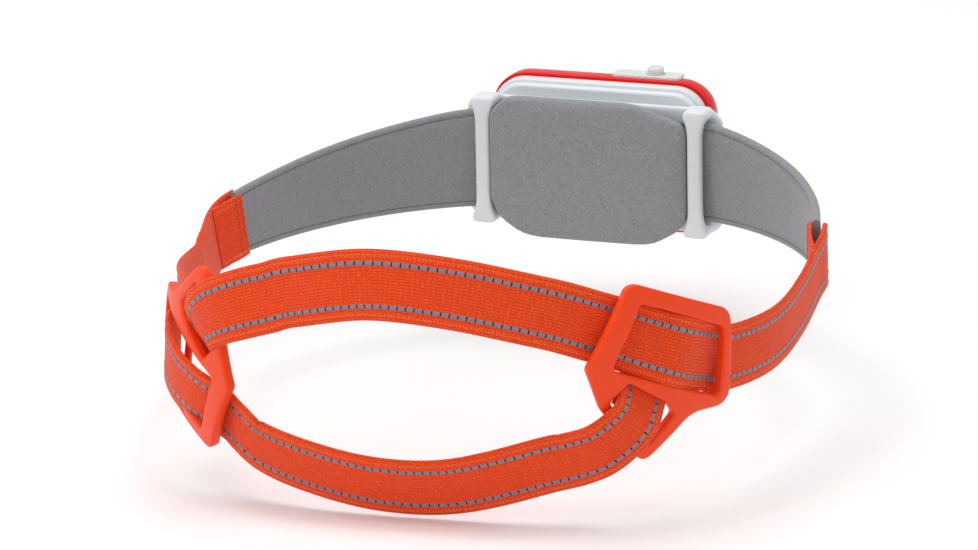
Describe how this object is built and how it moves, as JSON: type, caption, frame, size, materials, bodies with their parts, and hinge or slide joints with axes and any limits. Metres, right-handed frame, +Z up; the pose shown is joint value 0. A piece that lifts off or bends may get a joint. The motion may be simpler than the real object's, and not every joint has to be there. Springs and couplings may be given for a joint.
{
  "type": "headlamp",
  "caption": "Headlamp with a tilting lamp on a bracket, padded forehead band and split elastic webbing joined by sliding buckles.",
  "frame": {"origin": "centre of the forehead pad's face, which rests on the wearer's forehead", "axes": "+Z up, -Y the way the lamp shines, +Y towards the back of the head, -X the wearer's right"},
  "size_m": [0.1928, 0.2253, 0.0812],
  "materials": {
    "white_shell": "satin moulded",
    "red_shell": "gloss moulded",
    "clear_window": "clear polished",
    "clear_optic": "clear moulded",
    "black_bezel": "satin",
    "grey_felt": "brushed knit",
    "orange_webbing": "woven elastic",
    "orange_buckle": "satin moulded",
    "translucent_button": "frosted silicone",
    "seal_rubber": "matte",
    "steel": "bright",
    "aluminium_sink": "milled",
    "circuit_board": "solder mask",
    "led_phosphor": "phosphor",
    "battery_wrap": "wrapped"
  },
  "bodies": {
    "headset": {"head_bracket": "white_shell", "forehead_pad": "grey_felt", "front_band_right": "grey_felt", "front_band_left": "grey_felt", "upper_webbing": "orange_webbing", "lower_webbing": "orange_webbing", "upper_webbing_wrap": "orange_webbing", "lower_webbing_wrap": "orange_webbing", "hinge_pin": "steel", "detent_spring": "steel"},
    "lamp": {"rear_shell": "white_shell", "front_shell": "red_shell", "housing_seal": "seal_rubber", "housing_screws": "steel", "lens_window": "clear_window", "optic_bezel": "black_bezel", "spot_optic": "clear_optic", "flood_optic": "clear_optic", "spot_led": "led_phosphor", "flood_led": "led_phosphor", "led_board": "circuit_board", "heat_sink": "aluminium_sink", "control_board": "circuit_board", "battery_cell": "battery_wrap", "battery_tabs": "steel", "light_sensor": "clear_optic", "tactile_switch": "black_bezel", "button_strip": "translucent_button", "usb_port": "steel"},
    "power_button": {"power_button": "translucent_button"},
    "port_cover": {"port_cover": "seal_rubber"},
    "right_buckle": {"right_buckle": "orange_buckle"},
    "left_buckle": {"left_buckle": "orange_buckle"}
  },
  "joints": [
    {"name": "lamp_tilt", "type": "hinge", "parent": "headset", "child": "lamp", "pos_m": [0, -0.0142, -0.0206], "axis": [1, 0, 0], "range_deg": [0, 45]},
    {"name": "power_button_press", "type": "slide", "parent": "lamp", "child": "power_button", "axis": [0, 0, -1], "range_m": [0, 0.001], "stiffness_N_per_m": 1500},
    {"name": "port_cover_hinge", "type": "hinge", "parent": "lamp", "child": "port_cover", "pos_m": [0.0369, -0.0237, -0.0088], "axis": [0, 1, 0], "range_deg": [0, 110]},
    {"name": "right_buckle_slide", "type": "hinge", "parent": "headset", "child": "right_buckle", "pos_m": [0.00454, 0.09505, -0.0053], "axis": [0, 0, 1], "range_deg": [-10, 10], "deforming": ["upper_webbing", "lower_webbing"]},
    {"name": "left_buckle_slide", "type": "hinge", "parent": "headset", "child": "left_buckle", "pos_m": [-0.00454, 0.09505, -0.0053], "axis": [0, 0, 1], "range_deg": [-10, 10], "deforming": ["upper_webbing", "lower_webbing"]}
  ]
}
